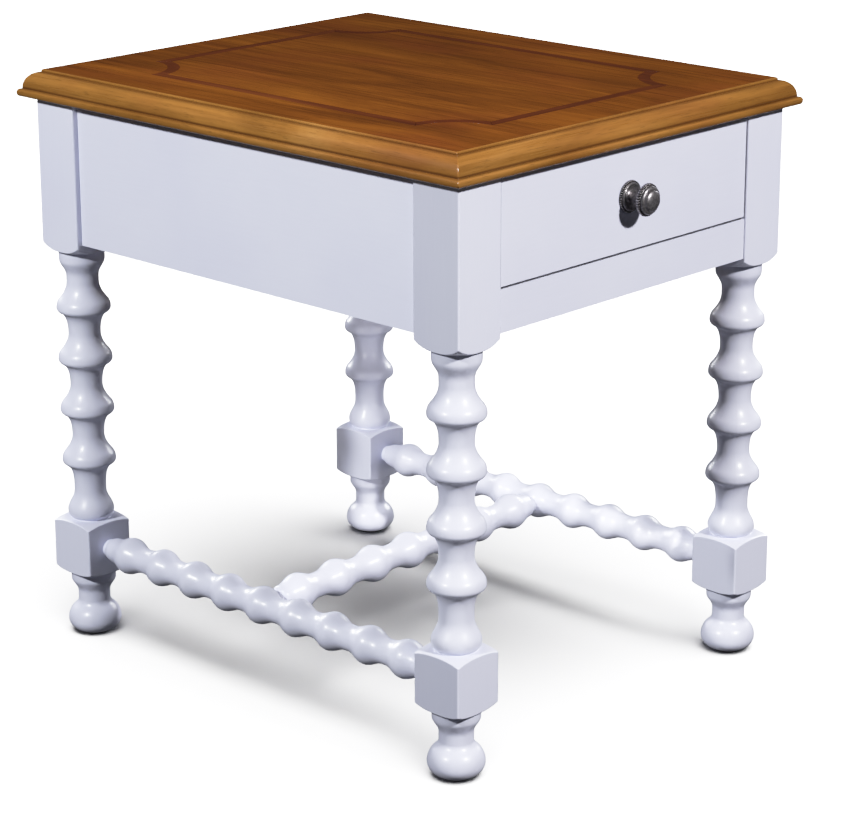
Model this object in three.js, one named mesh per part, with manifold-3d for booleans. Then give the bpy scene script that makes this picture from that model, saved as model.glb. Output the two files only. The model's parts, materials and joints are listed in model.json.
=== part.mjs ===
// Side table with one drawer: a rectangular wooden top with an inlaid band, four bobbin-turned
// legs joined by an H of bobbin-turned stretchers, and a drawer with a round metal knob.
// Millimetres. +Z is up and z = 0 is the floor. The drawer front faces -Y.
// x = 0 is the middle of the table's width. The origin is under the middle of the whole
// object, knob included, so the table itself is centred on y = TABLE_Y.

import * as THREE from 'three';
import { mergeVertices } from 'three/addons/utils/BufferGeometryUtils.js';
import Module from 'manifold-3d';

const wasm = await Module();
wasm.setup();

// ---------- driving dimensions ----------
const GAP = 0.3;                      // between neighbours that touch
const CUT_PAST = 1;                   // how far a cutter runs past the face it opens
const TABLE_Y = 8.25;

// top
const HEIGHT = 610;
const TOP_HALF_X = 254.5;
const TOP_HALF_Y = 305;
const TOP_UNDERSIDE = 582.5;
const MOULDING_WIDTH = 20.5;          // from the flat field to the nose of the edge
const INLAY_HALF_X = 179.5;
const INLAY_HALF_Y = 232.5;
const INLAY_WIDTH = 12;
const INLAY_CORNER_R = 50;            // the concave corner, centred on the band's own corner
const INLAY_THICK = 1.2;
const INLAY_FIT = 0.15;               // play between the band and its groove
const INLAY_ARC_STEPS = 8;

// legs
const LEG_X = 211;
const LEG_Y = 263.5;
const LEG_HALF = 28.25;               // half of the square blank
const ARRIS_EASE = 1.5;
const POST_ARRIS_END = 430.8;
const POST_SHOULDER_DROP = 8.8;
const BLOCK_ARRIS_TOP = 124.3;
const BLOCK_ARRIS_BOTTOM = 75;
const BLOCK_SHOULDER_RISE = 4.8;
const BOBBIN_TOP_Z = 359.8;
const BOBBIN_PITCH = 55.35;
const BOBBIN_COUNT = 4;
const BOBBIN_R = 28;
const NECK_R = 17.2;
const COLLAR_R = 23.7;
const BELL_R = 24.2;                  // the half bobbin that stands on the block
const FOOT_R = 28;
const FOOT_BOTTOM = 3.3;
const GLIDE_R = 16.5;
const GLIDE_THICK = 3;
const GLIDE_PIN_R = 1.6;
const GLIDE_PIN_TOP = 16;

// frame
const APRON_THICK = 20;
const APRON_RECESS = 5.5;             // behind the outer face of the legs
const APRON_BOTTOM = 434;
const APRON_TOP = TOP_UNDERSIDE - GAP;
const RAIL_RECESS = 1.5;
const RAIL_TOP = 475.4;
const TENON_LENGTH = 20;
const TENON_THICK = 8;
const TENON_INSET = 10;               // from the edges of the apron to the tenon
const RUNNER_INNER_X = 162;
const RUNNER_HEIGHT = 17;
const GUIDE_INNER_X = 181.6;
const GUIDE_HEIGHT = 20;
const KICKER_BOTTOM = 564.5;
const CORNER_BLOCK_THICK = 20;
const CORNER_BLOCK_DEPTH = 20.5;      // from the leg's inner corner to the block's long face
const CORNER_BLOCK_Z = 436;
const BOLT_R = 3.5;
const BOLT_LENGTH = 38;
const BOLT_HEAD_R = 7;
const BOLT_HEAD_THICK = 4;
const SCREW_R = 2;
const SCREW_HEAD_R = 4;
const SCREW_HEAD_THICK = 2;
const RUNNER_SCREW_LENGTH = 29;
const RUNNER_HOLE_LENGTH = 32.3;
const RUNNER_SCREW_X = 197;
const RUNNER_SCREW_Y = 150;
const TOP_SCREW_X = 197;
const TOP_SCREW_Y = 170;
const TOP_SCREW_TIP = 596;
const STOP_X = 110;
const STOP_WIDTH = 40;
const STOP_Z = 500;
const STOP_HEIGHT = 30;

// drawer
const FRONT_RECESS = 2;
const FRONT_THICK = 18;
const FRONT_HALF_X = 181.3;
const FRONT_BOTTOM = 476.9;
const FRONT_TOP = 580.5;
const BOX_HALF_X = 180.8;
const BOX_BOTTOM = RAIL_TOP + GAP;
const BOX_TOP = 562;
const BOX_BACK_DROP = 4;              // the back stands this much lower than the sides
const BOX_WALL = 12;
const BOX_BACK_Y = 240;               // measured from the table's middle
const PANEL_THICK = 5;
const PANEL_BOTTOM = 486;
const PANEL_SET_IN = 0.5;             // from the back's outer face to the panel's edge
const GROOVE_DEPTH = 6;

// knob
const KNOB_Z = 530;
const ROSETTE_R = 15.2;
const ROSETTE_THICK = 3.8;
const KNOB_R = 15.4;
const KNOB_STEM_R = 5.2;
const KNOB_HEAD_BACK = 15.5;          // from the drawer front to where the stem flares out
const KNOB_SCREW_REACH = 12;          // how far it goes in past the drawer's face
const KNOB_SCREW_HEAD_R = 4.5;
const KNOB_SCREW_HEAD_THICK = 2.4;

// stretchers
const STRETCHER_Z = 99.5;
const STRETCHER_BOBBIN_R = 19.4;
const STRETCHER_NECK_R = 13;
const STRETCHER_END_R = 9.4;
const SIDE_BOBBINS = 9;
const SIDE_PITCH = 50;
const CROSS_BOBBINS = 7;
const CROSS_PITCH = 54;
const TENON_R = 8;
const SOCKET_DEPTH = 18;

const LEG_SIDES = 16;
const STRETCHER_SIDES = 10;
const HARDWARE_SIDES = 8;
const KNOB_SIDES = 16;

// ---------- materials ----------
const paint = () => new THREE.MeshStandardMaterial({ color: 0xe4e3f0, roughness: 0.35, metalness: 0 });
const topWood = () => new THREE.MeshStandardMaterial({ color: 0xa8682c, roughness: 0.35, metalness: 0 });
const inlayWood = () => new THREE.MeshStandardMaterial({ color: 0x5a2a16, roughness: 0.35, metalness: 0 });
const rawWood = () => new THREE.MeshStandardMaterial({ color: 0xcaa878, roughness: 0.7, metalness: 0 });
const pewter = () => new THREE.MeshStandardMaterial({ color: 0x6b6766, roughness: 0.4, metalness: 1 });
const steel = () => new THREE.MeshStandardMaterial({ color: 0xb0aea6, roughness: 0.4, metalness: 1 });
const darkGlide = () => new THREE.MeshStandardMaterial({ color: 0x1b1a1c, roughness: 0.6, metalness: 0 });

// ---------- solids ----------
function toManifold(geometry) {
  const bare = geometry.clone();
  bare.deleteAttribute('normal');
  bare.deleteAttribute('uv');
  const merged = mergeVertices(bare, 1e-4);
  const vertProperties = new Float32Array(merged.attributes.position.array);
  const triVerts = new Uint32Array(merged.index.array);
  return new wasm.Manifold(new wasm.Mesh({ numProp: 3, vertProperties, triVerts }));
}

function toGeometry(solid) {
  const mesh = solid.getMesh();
  const geometry = new THREE.BufferGeometry();
  geometry.setAttribute('position', new THREE.BufferAttribute(new Float32Array(mesh.vertProperties), 3));
  geometry.setIndex(new THREE.BufferAttribute(new Uint32Array(mesh.triVerts), 1));
  return geometry;
}

function join(first, ...others) {
  return toGeometry(others.reduce((solid, other) => solid.add(toManifold(other)), toManifold(first)));
}

function cut(first, ...others) {
  return toGeometry(others.reduce((solid, other) => solid.subtract(toManifold(other)), toManifold(first)));
}

// A box between two opposite corners, given in either order, with grow added all round.
function box(a, b, grow = 0) {
  const low = a.map((v, i) => Math.min(v, b[i]) - grow);
  const size = a.map((v, i) => Math.abs(v - b[i]) + 2 * grow);
  const geometry = new THREE.BoxGeometry(...size);
  geometry.translate(low[0] + size[0] / 2, low[1] + size[1] / 2, low[2] + size[2] / 2);
  return geometry;
}

// A plan outline of [x, y] points, with an optional hole, raised from z0 to z1.
function prism(outline, z0, z1, hole = null) {
  const shape = new THREE.Shape(outline.map(([x, y]) => new THREE.Vector2(x, y)));
  if (hole) {
    shape.holes.push(new THREE.Path(hole.map(([x, y]) => new THREE.Vector2(x, y))));
  }
  const geometry = new THREE.ExtrudeGeometry(shape, { depth: z1 - z0, bevelEnabled: false });
  geometry.translate(0, 0, z0);
  return geometry;
}

// A turned solid about +Z from [radius, z] pairs that climb its outside.
function turned(profile, sides) {
  const geometry = new THREE.LatheGeometry(profile.map(([r, z]) => new THREE.Vector2(r, z)), sides);
  geometry.rotateX(Math.PI / 2);
  return geometry;
}

function rod(r, z0, z1, sides = HARDWARE_SIDES) {
  return turned([[0, z0], [r, z0], [r, z1], [0, z1]], sides);
}

// A shank with a wider head below it, pointing up from z = 0 at the head's seat.
function screw(r, length, headR, headThick) {
  const profile = [[0, -headThick], [headR * 0.8, -headThick], [headR, 0], [r, 0], [r, length], [0, length]];
  return turned(profile, HARDWARE_SIDES);
}

// ---------- turning profiles ----------
// One side of a bobbin: 1 at the rim, 0 at the neck, with a long hollow flank.
const flank = (t) => Math.cos((Math.abs(t) * Math.PI) / 2) ** 3;

// Evenly pitched bobbins from neck to neck, as [radius, z] pairs.
function bobbinRow(firstRim, count, pitch, rimR, neckR, steps) {
  const rows = [];
  for (let i = 0; i <= count * steps; i += 1) {
    const fromRim = (2 * (i % steps)) / steps - 1;
    rows.push([neckR + (rimR - neckR) * flank(fromRim), firstRim + (i / steps - 0.5) * pitch]);
  }
  return rows;
}

// A turned shoulder across the square blank, from the collar (t = 0) to the arris (t = 1).
function shoulder(arrisEnd, drop, innerR) {
  const cornerR = LEG_HALF * Math.SQRT2;
  const steps = [0, 0.45, 0.8, 1];
  return steps.map((t) => [innerR + (cornerR - innerR) * t, arrisEnd + drop * (1 - t * t)]);
}

// The bulb under the leg, from its flat seat past its widest ring to its upper side.
function bulb() {
  const centreZ = 15;
  const bulge = 17;
  const lowerHeight = 13.8;
  const upperHeight = 18;
  return [-58, -30, 0, 28, 52].map((degrees) => {
    const a = (degrees * Math.PI) / 180;
    const height = degrees < 0 ? lowerHeight : upperHeight;
    return [FOOT_R - bulge + bulge * Math.cos(a), centreZ + height * Math.sin(a)];
  });
}

function legProfile() {
  const lowestRim = BOBBIN_TOP_Z - (BOBBIN_COUNT - 1) * BOBBIN_PITCH;
  const clearOfBlank = LEG_HALF * Math.SQRT2 + CUT_PAST;
  const ankleCollar = COLLAR_R - 0.2;
  const bellFoot = COLLAR_R - 3;
  return [
    [0, FOOT_BOTTOM],
    ...bulb(),
    [17.4, 36.5],
    [16.9, 43],
    [19, 51],
    [ankleCollar, 60],
    ...shoulder(BLOCK_ARRIS_BOTTOM, -BLOCK_SHOULDER_RISE, ankleCollar),
    [clearOfBlank, BLOCK_ARRIS_BOTTOM + 1],
    [clearOfBlank, BLOCK_ARRIS_TOP - 1],
    ...shoulder(BLOCK_ARRIS_TOP, BLOCK_SHOULDER_RISE, bellFoot).reverse(),
    [bellFoot, 131.5],
    [BELL_R, 136],
    [BELL_R, 140.5],
    [20.6, 149],
    ...bobbinRow(lowestRim, BOBBIN_COUNT, BOBBIN_PITCH, BOBBIN_R, NECK_R, 6),
    [18.2, 398],
    [21.6, 405.4],
    [COLLAR_R, 411.5],
    ...shoulder(POST_ARRIS_END, -POST_SHOULDER_DROP, COLLAR_R),
    [clearOfBlank, POST_ARRIS_END + 1],
    [clearOfBlank, APRON_TOP],
    [0, APRON_TOP],
  ];
}

// A stretcher along its own z, with a round tenon at both ends.
function stretcherProfile(count, pitch, faceDistance) {
  const firstRim = (-(count - 1) * pitch) / 2;
  const endLength = 7;
  const seat = faceDistance - GAP;
  const tip = seat + SOCKET_DEPTH - 1;
  return [
    [0, -tip],
    [TENON_R, -tip],
    [TENON_R, -seat],
    [STRETCHER_END_R, -seat],
    [STRETCHER_END_R, endLength - seat],
    ...bobbinRow(firstRim, count, pitch, STRETCHER_BOBBIN_R, STRETCHER_NECK_R, 4),
    [STRETCHER_END_R, seat - endLength],
    [STRETCHER_END_R, seat],
    [TENON_R, seat],
    [TENON_R, tip],
    [0, tip],
  ];
}

// ---------- assembly helpers ----------
const table = new THREE.Group();
table.name = 'side_table';
table.position.y = TABLE_Y;

function put(name, geometry, material) {
  const mesh = new THREE.Mesh(geometry, material());
  mesh.name = name;
  table.add(mesh);
}

const SIDES = [['left', -1], ['right', 1]];
const ENDS = [['front', -1], ['back', 1]];

// Calls make(name, sx, sy) for the four corners of the table.
function atCorners(make) {
  for (const [end, sy] of ENDS) {
    for (const [side, sx] of SIDES) {
      make(`${end}_${side}`, sx, sy);
    }
  }
}

// ---------- top ----------
// The moulded edge as [inset from the nose, z]: bead, quirk, ovolo and a small step.
const MOULDING = [
  [0.9, TOP_UNDERSIDE],
  [0, 587],
  [1.2, 590],
  [4, 590.8],
  [4.4, 593.5],
  [6, 597.5],
  [9.5, 603.2],
  [14, 606.6],
  [18.2, 607.2],
  [18.8, 609.2],
  [MOULDING_WIDTH, HEIGHT],
];

// A stack of rectangles, one for each row of the moulding, closed below and above.
function mouldedBoard() {
  const positions = [];
  const index = [];
  for (const [inset, z] of MOULDING) {
    const x = TOP_HALF_X - inset;
    const y = TOP_HALF_Y - inset;
    positions.push(-x, -y, z, x, -y, z, x, y, z, -x, y, z);
  }
  for (let row = 0; row + 1 < MOULDING.length; row += 1) {
    for (let side = 0; side < 4; side += 1) {
      const a = row * 4 + side;
      const b = row * 4 + ((side + 1) % 4);
      index.push(a, b, b + 4, a, b + 4, a + 4);
    }
  }
  const last = (MOULDING.length - 1) * 4;
  index.push(0, 2, 1, 0, 3, 2, last, last + 1, last + 2, last, last + 2, last + 3);
  const geometry = new THREE.BufferGeometry();
  geometry.setAttribute('position', new THREE.Float32BufferAttribute(positions, 3));
  geometry.setIndex(index);
  return geometry;
}

// Arc about the band's corner at 0,0, towards -x and -y, leaving out trim radians at each end.
function cornerArc(r, trim) {
  const points = [];
  for (let i = 0; i <= INLAY_ARC_STEPS; i += 1) {
    const a = trim + ((Math.PI / 2 - 2 * trim) * i) / INLAY_ARC_STEPS;
    points.push([-r * Math.sin(a), -r * Math.cos(a)]);
  }
  return points;
}

// The closed outline d inside the band's outer edge, with hollow corners of radius r.
function bandOutline(d, r) {
  const quarter = cornerArc(r, Math.asin(d / r));
  const outline = [];
  for (const [sx, sy] of [[1, 1], [-1, 1], [-1, -1], [1, -1]]) {
    const corner = quarter.map(([x, y]) => [sx * (INLAY_HALF_X + x), sy * (INLAY_HALF_Y + y)]);
    outline.push(...(sx * sy > 0 ? corner : corner.reverse()));
  }
  return outline;
}

// Trapezium of the band: a straight length between two corner pieces, outer edge on y = 0.
function straightPiece(half) {
  const innerR = INLAY_CORNER_R + INLAY_WIDTH;
  const outerEnd = half - INLAY_CORNER_R;
  const innerEnd = half - Math.sqrt(innerR ** 2 - INLAY_WIDTH ** 2);
  return [[-outerEnd, 0], [outerEnd, 0], [innerEnd, -INLAY_WIDTH], [-innerEnd, -INLAY_WIDTH]];
}

function cornerPiece() {
  const innerR = INLAY_CORNER_R + INLAY_WIDTH;
  const trim = GAP / INLAY_CORNER_R;
  const outer = cornerArc(INLAY_CORNER_R, trim);
  const inner = cornerArc(innerR, Math.asin(INLAY_WIDTH / innerR) + trim);
  return [...outer, ...inner.reverse()];
}

function putInlay(name, outline) {
  put(name, prism(outline, HEIGHT - INLAY_THICK, HEIGHT), inlayWood);
}

function buildTop() {
  const groove = prism(
    bandOutline(-INLAY_FIT, INLAY_CORNER_R - INLAY_FIT),
    HEIGHT - INLAY_THICK - INLAY_FIT,
    HEIGHT + CUT_PAST,
    bandOutline(INLAY_WIDTH + INLAY_FIT, INLAY_CORNER_R + INLAY_WIDTH + INLAY_FIT),
  );
  const screwHoles = [];
  atCorners((name, sx, sy) => {
    const hole = rod(SCREW_R + GAP, TOP_UNDERSIDE - CUT_PAST, TOP_SCREW_TIP + CUT_PAST);
    hole.translate(sx * TOP_SCREW_X, sy * TOP_SCREW_Y, 0);
    screwHoles.push(hole);
  });
  put('top_board', cut(mouldedBoard(), groove, ...screwHoles), topWood);
  for (const [side, sx] of SIDES) {
    const piece = straightPiece(INLAY_HALF_Y);
    putInlay(`inlay_${side}`, piece.map(([along, across]) => [sx * (INLAY_HALF_X + across), along]));
  }
  for (const [end, sy] of ENDS) {
    const piece = straightPiece(INLAY_HALF_X);
    putInlay(`inlay_${end}`, piece.map(([along, across]) => [along, sy * (INLAY_HALF_Y + across)]));
  }
  atCorners((name, sx, sy) => {
    const outline = cornerPiece().map(([x, y]) => [sx * (INLAY_HALF_X + x), sy * (INLAY_HALF_Y + y)]);
    putInlay(`inlay_corner_${name}`, outline);
  });
}

// ---------- legs and glides ----------
const LEG_INNER_X = LEG_X - LEG_HALF;
const LEG_INNER_Y = LEG_Y - LEG_HALF;
const SIDE_OUTER_X = LEG_X + LEG_HALF - APRON_RECESS;
const BACK_OUTER_Y = LEG_Y + LEG_HALF - APRON_RECESS;
const RAIL_OUTER_Y = LEG_Y + LEG_HALF - RAIL_RECESS;
const FRONT_FACE_Y = -(LEG_Y + LEG_HALF - FRONT_RECESS);
const TENON_SHOULDER = (APRON_THICK - TENON_THICK) / 2;

// The square blank with its four arrises eased.
function blank() {
  const h = LEG_HALF;
  const e = LEG_HALF - ARRIS_EASE;
  const outline = [[h, -e], [h, e], [e, h], [-e, h], [-h, e], [-h, -e], [-e, -h], [e, -h]];
  return prism(outline, FOOT_BOTTOM - CUT_PAST, APRON_TOP + CUT_PAST);
}

// The tenons at one corner of the table, or with grow the mortises for them.
function sideTenon(sx, sy, grow = 0) {
  const outer = SIDE_OUTER_X - TENON_SHOULDER;
  const low = [sx * outer, sy * (LEG_INNER_Y - CUT_PAST), APRON_BOTTOM + TENON_INSET];
  const high = [sx * (outer - TENON_THICK), sy * (LEG_INNER_Y + TENON_LENGTH), APRON_TOP - TENON_INSET];
  return box(low, high, grow);
}

function endTenon(sx, sy, grow = 0) {
  const outer = (sy > 0 ? BACK_OUTER_Y : RAIL_OUTER_Y) - TENON_SHOULDER;
  const top = (sy > 0 ? APRON_TOP : RAIL_TOP) - TENON_INSET;
  const low = [sx * (LEG_INNER_X - CUT_PAST), sy * outer, APRON_BOTTOM + TENON_INSET];
  const high = [sx * (LEG_INNER_X + TENON_LENGTH), sy * (outer - TENON_THICK), top];
  return box(low, high, grow);
}

// The corner bolt lies on the diagonal through the leg's axis, with its head inside the frame.
function boltAt(geometry, sx, sy) {
  const seat = CORNER_BLOCK_DEPTH / Math.SQRT2;
  const z = CORNER_BLOCK_Z + CORNER_BLOCK_THICK / 2;
  geometry.rotateX(Math.PI / 2);
  geometry.rotateZ(Math.atan2(sy, sx) + Math.PI / 2);
  geometry.translate(sx * (LEG_INNER_X - seat), sy * (LEG_INNER_Y - seat), z);
  return geometry;
}

function buildLegs() {
  atCorners((name, sx, sy) => {
    const turning = toManifold(turned(legProfile(), LEG_SIDES)).intersect(toManifold(blank()));
    const shaped = toGeometry(turning);
    shaped.translate(sx * LEG_X, sy * LEG_Y, 0);
    const socket = rod(TENON_R + GAP, -CUT_PAST, SOCKET_DEPTH, STRETCHER_SIDES);
    socket.rotateX(-sy * (Math.PI / 2));
    socket.translate(sx * LEG_X, sy * LEG_INNER_Y, STRETCHER_Z);
    const pinHole = rod(GLIDE_PIN_R + GAP, FOOT_BOTTOM - CUT_PAST, GLIDE_PIN_TOP + CUT_PAST);
    pinHole.translate(sx * LEG_X, sy * LEG_Y, 0);
    const boltHole = boltAt(rod(BOLT_R + GAP, 0, BOLT_LENGTH + CUT_PAST), sx, sy);
    const leg = cut(shaped, sideTenon(sx, sy, GAP), endTenon(sx, sy, GAP), socket, pinHole, boltHole);
    put(`leg_${name}`, leg, paint);

    const glide = turned([
      [0, 0], [GLIDE_R - 0.8, 0], [GLIDE_R, 0.8], [GLIDE_R, GLIDE_THICK],
      [GLIDE_PIN_R, GLIDE_THICK], [GLIDE_PIN_R, GLIDE_PIN_TOP], [0, GLIDE_PIN_TOP],
    ], LEG_SIDES);
    glide.translate(sx * LEG_X, sy * LEG_Y, 0);
    put(`glide_${name}`, glide, darkGlide);
  });
}

// ---------- aprons, rail and corner blocks ----------
function buildFrame() {
  for (const [side, sx] of SIDES) {
    const board = box(
      [sx * SIDE_OUTER_X, -(LEG_INNER_Y - GAP), APRON_BOTTOM],
      [sx * (SIDE_OUTER_X - APRON_THICK), LEG_INNER_Y - GAP, APRON_TOP],
    );
    put(`apron_${side}`, join(board, sideTenon(sx, -1), sideTenon(sx, 1)), paint);
  }
  const backBoard = box(
    [-(LEG_INNER_X - GAP), BACK_OUTER_Y, APRON_BOTTOM],
    [LEG_INNER_X - GAP, BACK_OUTER_Y - APRON_THICK, APRON_TOP],
  );
  put('apron_back', join(backBoard, endTenon(-1, 1), endTenon(1, 1)), paint);
  const railBoard = box(
    [-(LEG_INNER_X - GAP), -RAIL_OUTER_Y, APRON_BOTTOM],
    [LEG_INNER_X - GAP, -RAIL_OUTER_Y + APRON_THICK, RAIL_TOP],
  );
  put('rail_front', join(railBoard, endTenon(-1, -1), endTenon(1, -1)), paint);
}

function buildCornerBlocks() {
  atCorners((name, sx, sy) => {
    const side = SIDE_OUTER_X - APRON_THICK - GAP;
    const end = (sy > 0 ? BACK_OUTER_Y : RAIL_OUTER_Y) - APRON_THICK - GAP;
    const cornerX = LEG_INNER_X - GAP;
    const cornerY = LEG_INNER_Y - GAP;
    const diagonal = LEG_INNER_X + LEG_INNER_Y - CORNER_BLOCK_DEPTH * Math.SQRT2;
    const outline = [
      [side, cornerY], [cornerX, cornerY], [cornerX, end],
      [diagonal - end, end], [side, diagonal - side],
    ];
    const placed = outline.map(([x, y]) => [sx * x, sy * y]);
    const block = prism(placed, CORNER_BLOCK_Z, CORNER_BLOCK_Z + CORNER_BLOCK_THICK);
    const hole = boltAt(rod(BOLT_R + GAP, -CUT_PAST, BOLT_LENGTH), sx, sy);
    put(`corner_block_${name}`, cut(block, hole), rawWood);
    const bolt = screw(BOLT_R, BOLT_LENGTH, BOLT_HEAD_R, BOLT_HEAD_THICK);
    bolt.translate(0, 0, -GAP);
    put(`corner_bolt_${name}`, boltAt(bolt, sx, sy), steel);
  });
}

// ---------- drawer runners, guides, kickers and stops ----------
// Screws that stand in pairs on one side of the table, and the holes they pass through.
function pairAt(geometryOf, x, y) {
  return [-1, 1].map((sy) => geometryOf().translate(x, sy * y, 0));
}

function putScrews(kind, side, x, y, seatZ, length) {
  for (const [end, sy] of ENDS) {
    const woodScrew = screw(SCREW_R, length, SCREW_HEAD_R, SCREW_HEAD_THICK);
    put(`${kind}_${end}_${side}`, woodScrew.translate(x, sy * y, seatZ - GAP), steel);
  }
}

function buildRunners() {
  const wallX = SIDE_OUTER_X - APRON_THICK - GAP;
  const endY = LEG_INNER_Y - GAP;
  const runnerBottom = RAIL_TOP - RUNNER_HEIGHT;
  const guideBottom = RAIL_TOP + GAP;
  const guideTop = guideBottom + GUIDE_HEIGHT;
  const runnerHole = () => rod(SCREW_R + GAP, runnerBottom - CUT_PAST, runnerBottom + RUNNER_HOLE_LENGTH);
  const topHole = () => rod(SCREW_R + GAP, KICKER_BOTTOM - CUT_PAST, APRON_TOP + CUT_PAST);
  for (const [side, sx] of SIDES) {
    const runnerHoles = pairAt(runnerHole, sx * RUNNER_SCREW_X, RUNNER_SCREW_Y);
    const runner = box([sx * RUNNER_INNER_X, -endY, runnerBottom], [sx * wallX, endY, RAIL_TOP]);
    put(`drawer_runner_${side}`, cut(runner, ...runnerHoles), rawWood);
    const guide = box([sx * GUIDE_INNER_X, -endY, guideBottom], [sx * wallX, endY, guideTop]);
    put(`drawer_guide_${side}`, cut(guide, ...runnerHoles), rawWood);
    putScrews('runner_screw', side, sx * RUNNER_SCREW_X, RUNNER_SCREW_Y, runnerBottom, RUNNER_SCREW_LENGTH);

    const kicker = box([sx * RUNNER_INNER_X, -endY, KICKER_BOTTOM], [sx * wallX, endY, APRON_TOP]);
    const topHoles = pairAt(topHole, sx * TOP_SCREW_X, TOP_SCREW_Y);
    put(`drawer_kicker_${side}`, cut(kicker, ...topHoles), rawWood);
    const topScrewLength = TOP_SCREW_TIP - KICKER_BOTTOM;
    putScrews('top_screw', side, sx * TOP_SCREW_X, TOP_SCREW_Y, KICKER_BOTTOM, topScrewLength);

    const stopFront = [sx * (STOP_X - STOP_WIDTH / 2), BOX_BACK_Y + GAP, STOP_Z];
    const stopBack = [sx * (STOP_X + STOP_WIDTH / 2), BACK_OUTER_Y - APRON_THICK - GAP, STOP_Z + STOP_HEIGHT];
    put(`drawer_stop_${side}`, box(stopFront, stopBack), rawWood);
  }
}

// ---------- drawer ----------
function buildDrawer() {
  const backOfFront = FRONT_FACE_Y + FRONT_THICK;
  const boxFrontY = backOfFront + GAP;
  const wallInner = BOX_HALF_X - BOX_WALL;
  const grooveLow = PANEL_BOTTOM - GAP / 2;
  const grooveHigh = PANEL_BOTTOM + PANEL_THICK + GAP / 2;

  const front = box([-FRONT_HALF_X, FRONT_FACE_Y, FRONT_BOTTOM], [FRONT_HALF_X, backOfFront, FRONT_TOP]);
  const frontGroove = box(
    [-wallInner - GROOVE_DEPTH, backOfFront - GROOVE_DEPTH, grooveLow],
    [wallInner + GROOVE_DEPTH, backOfFront + CUT_PAST, grooveHigh],
  );
  const knobHole = alongKnob(rod(SCREW_R + GAP, -FRONT_THICK - CUT_PAST, CUT_PAST));
  put('drawer_front', cut(front, frontGroove, knobHole), paint);

  for (const [side, sx] of SIDES) {
    const wall = box([sx * wallInner, boxFrontY, BOX_BOTTOM], [sx * BOX_HALF_X, BOX_BACK_Y, BOX_TOP]);
    const groove = box(
      [sx * (wallInner - CUT_PAST), boxFrontY - CUT_PAST, grooveLow],
      [sx * (wallInner + GROOVE_DEPTH), BOX_BACK_Y + CUT_PAST, grooveHigh],
    );
    put(`drawer_side_${side}`, cut(wall, groove), rawWood);
  }
  const backBottom = PANEL_BOTTOM + PANEL_THICK + GAP;
  const backHalf = wallInner - GAP;
  put('drawer_back', box(
    [-backHalf, BOX_BACK_Y - BOX_WALL, backBottom],
    [backHalf, BOX_BACK_Y, BOX_TOP - BOX_BACK_DROP],
  ), rawWood);
  const panelHalf = wallInner + GROOVE_DEPTH - GAP;
  put('drawer_bottom', box(
    [-panelHalf, backOfFront - GROOVE_DEPTH + GAP, PANEL_BOTTOM],
    [panelHalf, BOX_BACK_Y - PANEL_SET_IN, PANEL_BOTTOM + PANEL_THICK],
  ), rawWood);
}

// ---------- knob ----------
// Stands a solid made along +Z out of the drawer front, its z measured from the front's face.
function alongKnob(geometry) {
  geometry.rotateX(Math.PI / 2);
  geometry.translate(0, FRONT_FACE_Y, KNOB_Z);
  return geometry;
}

function buildKnob() {
  const holeR = SCREW_R + GAP;
  const rosetteBack = GAP;
  const bossTop = 3;
  const rosette = [
    [holeR, rosetteBack], [ROSETTE_R - 0.8, rosetteBack], [ROSETTE_R, 1], [ROSETTE_R, 2.2],
    [ROSETTE_R - 1.6, 2.8], [ROSETTE_R - 2.2, ROSETTE_THICK], [ROSETTE_R - 3.4, ROSETTE_THICK],
    [ROSETTE_R - 4.2, 2.6], [KNOB_STEM_R + 1.5, bossTop - 0.6], [KNOB_STEM_R + 1, bossTop],
    [holeR, bossTop], [holeR, rosetteBack],
  ];
  put('knob_rosette', alongKnob(turned(rosette, KNOB_SIDES)), pewter);
  const seat = bossTop + GAP;
  // The head as [radius, distance from its back]: flare, milled rim, shoulder, step and dome.
  const head = [
    [8, 3], [13, 4.2], [KNOB_R, 5.2], [KNOB_R, 7.6], [14.2, 8.6], [12.9, 10.8], [11.2, 12],
    [10.6, 13], [8.6, 14.8], [5, 16], [0, 16.5],
  ];
  const knob = [
    [0, KNOB_HEAD_BACK], [holeR, KNOB_HEAD_BACK], [holeR, seat], [KNOB_STEM_R, seat],
    [KNOB_STEM_R, KNOB_HEAD_BACK],
    ...head.map(([r, out]) => [r, KNOB_HEAD_BACK + out]),
  ];
  put('knob', alongKnob(turned(knob, KNOB_SIDES)), pewter);
  const shank = FRONT_THICK + KNOB_SCREW_REACH;
  const knobScrew = screw(SCREW_R, shank, KNOB_SCREW_HEAD_R, KNOB_SCREW_HEAD_THICK);
  knobScrew.translate(0, 0, -FRONT_THICK - GAP);
  put('knob_screw', alongKnob(knobScrew), steel);
}

// ---------- stretchers ----------
function buildStretchers() {
  for (const [side, sx] of SIDES) {
    const rail = turned(stretcherProfile(SIDE_BOBBINS, SIDE_PITCH, LEG_INNER_Y), STRETCHER_SIDES);
    rail.rotateX(Math.PI / 2);
    const socket = rod(TENON_R + GAP, -SOCKET_DEPTH, 2, STRETCHER_SIDES);
    socket.rotateY(-sx * (Math.PI / 2));
    socket.translate(-sx * STRETCHER_BOBBIN_R, 0, 0);
    const rebated = cut(rail, socket);
    rebated.translate(sx * LEG_X, 0, STRETCHER_Z);
    put(`stretcher_${side}`, rebated, paint);
  }
  const crossProfile = stretcherProfile(CROSS_BOBBINS, CROSS_PITCH, LEG_X - STRETCHER_BOBBIN_R);
  const cross = turned(crossProfile, STRETCHER_SIDES);
  cross.rotateY(Math.PI / 2);
  cross.translate(0, 0, STRETCHER_Z);
  put('stretcher_cross', cross, paint);
}

buildTop();
buildLegs();
buildFrame();
buildCornerBlocks();
buildRunners();
buildDrawer();
buildKnob();
buildStretchers();

export default table;
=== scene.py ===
import json
import math

import bmesh
import bpy
from mathutils import Matrix, Vector

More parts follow.
